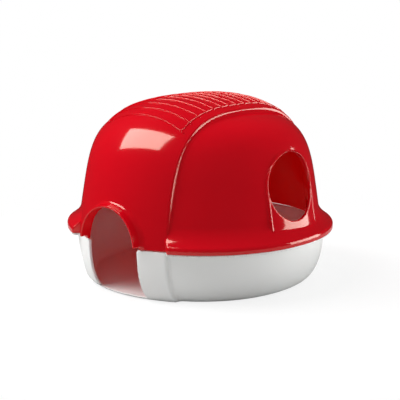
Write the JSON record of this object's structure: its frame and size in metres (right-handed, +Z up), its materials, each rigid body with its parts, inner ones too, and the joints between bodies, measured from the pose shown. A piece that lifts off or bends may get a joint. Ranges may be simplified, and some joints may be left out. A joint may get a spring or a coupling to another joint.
{
  "type": "hamster house",
  "caption": "Small-animal hideout: a red domed hood with a raised band, arched entrance and round side window, resting on an open white tray",
  "frame": {"origin": "Under the middle of the house, on the surface it stands on: the bottom centre of its bounding box", "axes": "+Z up; the entrance faces -Y; the round side window faces +X, which is also the long way of the house"},
  "size_m": [0.15, 0.1453, 0.1023],
  "materials": {
    "hood": "gloss",
    "tray": "gloss"
  },
  "bodies": {
    "root": {"hood": "hood", "base_tray": "tray"}
  },
  "joints": []
}
